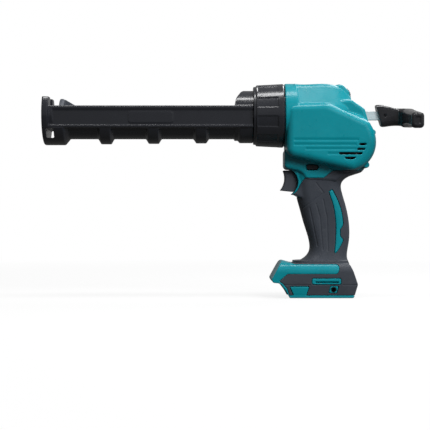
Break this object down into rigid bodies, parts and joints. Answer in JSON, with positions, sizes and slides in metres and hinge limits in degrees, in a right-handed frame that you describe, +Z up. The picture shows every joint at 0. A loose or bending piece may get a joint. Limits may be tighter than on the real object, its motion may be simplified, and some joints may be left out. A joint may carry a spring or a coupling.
{
  "type": "cordless caulking tool",
  "caption": "Pistol-grip battery caulking gun with an open cartridge trough, rack-driven piston rod, pull handle, locking ring, trigger, lock-off button and speed dial.",
  "frame": {"origin": "on the rod's axis, in the plane where the holder's ring meets the housing", "axes": "+X rearwards along the rod, +Z up, -Y to the user's left"},
  "size_m": [0.425, 0.124, 0.2441],
  "materials": {
    "teal_shell": "fine spark-eroded moulded plastic",
    "soft_cover": "matt soft overmoulding",
    "holder_black": "satin moulded plastic",
    "control_black": "satin moulded plastic",
    "handle_gloss": "glossy moulded plastic",
    "steel": "bright zinc",
    "case_metal": "die cast",
    "bush_plastic": "plain",
    "insert_brass": "turned",
    "motor_steel": "zinc plated",
    "magnet": "dull",
    "inner_plastic": "plain",
    "board": "printed board",
    "lead_black": "insulated wire"
  },
  "bodies": {
    "tool": {"housing_left": "teal_shell", "housing_right": "teal_shell", "grip_cover_left": "soft_cover", "grip_cover_right": "soft_cover", "housing_screws": "steel", "hook_inserts": "steel", "gear_case": "case_metal", "gear_case_cover": "case_metal", "case_screws": "steel", "rod_bush_front": "bush_plastic", "rod_bush_rear": "bush_plastic", "output_bearings": "steel", "idler_bearings": "steel", "motor_can": "motor_steel", "motor_magnets": "magnet", "motor_end_bell": "inner_plastic", "motor_brushes": "magnet", "motor_bearings": "steel", "switch_body": "inner_plastic", "dial_potentiometer": "inner_plastic", "terminal_block": "inner_plastic", "terminal_blades": "insert_brass", "control_board": "board", "battery_leads": "lead_black", "motor_leads": "lead_black"},
    "rod": {"rod": "steel", "piston": "control_black", "piston_screw": "steel", "rod_handle": "handle_gloss", "handle_pin": "steel"},
    "output": {"output_shaft": "steel", "rack_pinion": "steel", "output_gear": "steel"},
    "idler": {"idler_pinion": "steel", "idler_gear": "steel"},
    "armature": {"armature_core": "motor_steel", "armature_windings": "insert_brass", "commutator": "insert_brass", "motor_fan": "inner_plastic", "motor_shaft": "steel", "motor_pinion": "steel"},
    "trigger": {"trigger": "control_black", "switch_plunger": "inner_plastic"},
    "lock_button": {"lock_button": "control_black"},
    "dial": {"speed_dial": "control_black"},
    "ring": {"holder_ring": "holder_black"},
    "holder": {"holder": "holder_black"}
  },
  "joints": [
    {"name": "rod_slide", "type": "slide", "parent": "tool", "child": "rod", "axis": [1, 0, 0], "range_m": [-0.006, 0.215]},
    {"name": "output_spin", "type": "hinge", "parent": "tool", "child": "output", "pos_m": [0.035, 0, -0.01225], "axis": [0, 1, 0], "continuous": true},
    {"name": "idler_spin", "type": "hinge", "parent": "tool", "child": "idler", "pos_m": [0.04852, 0, -0.03562], "axis": [0, 1, 0], "continuous": true},
    {"name": "motor_spin", "type": "hinge", "parent": "tool", "child": "armature", "pos_m": [0.069, 0, -0.031], "axis": [0, 1, 0], "continuous": true},
    {"name": "trigger_pull", "type": "slide", "parent": "tool", "child": "trigger", "axis": [1, 0, 0], "range_m": [0, 0.007], "stiffness_N_per_m": 500, "springref_m": -0.004},
    {"name": "lock_push", "type": "slide", "parent": "tool", "child": "lock_button", "axis": [0, -1, 0], "range_m": [0, 0.004]},
    {"name": "dial_turn", "type": "hinge", "parent": "tool", "child": "dial", "pos_m": [0.067, 0, 0.0234], "axis": [0, 1, 0], "range_deg": [0, 200]},
    {"name": "ring_turn", "type": "hinge", "parent": "tool", "child": "ring", "pos_m": [-0.01, 0, 0], "axis": [-1, 0, 0], "range_deg": [0, 60]},
    {"name": "holder_turn", "type": "hinge", "parent": "tool", "child": "holder", "pos_m": [-0.016, 0, 0], "axis": [1, 0, 0], "continuous": true}
  ],
  "couplings": [
    {"joint": "output_spin", "follows": "rod_slide", "rad_per_m": 111.11},
    {"joint": "idler_spin", "follows": "rod_slide", "rad_per_m": -388.89},
    {"joint": "motor_spin", "follows": "rod_slide", "rad_per_m": 1425.9}
  ]
}
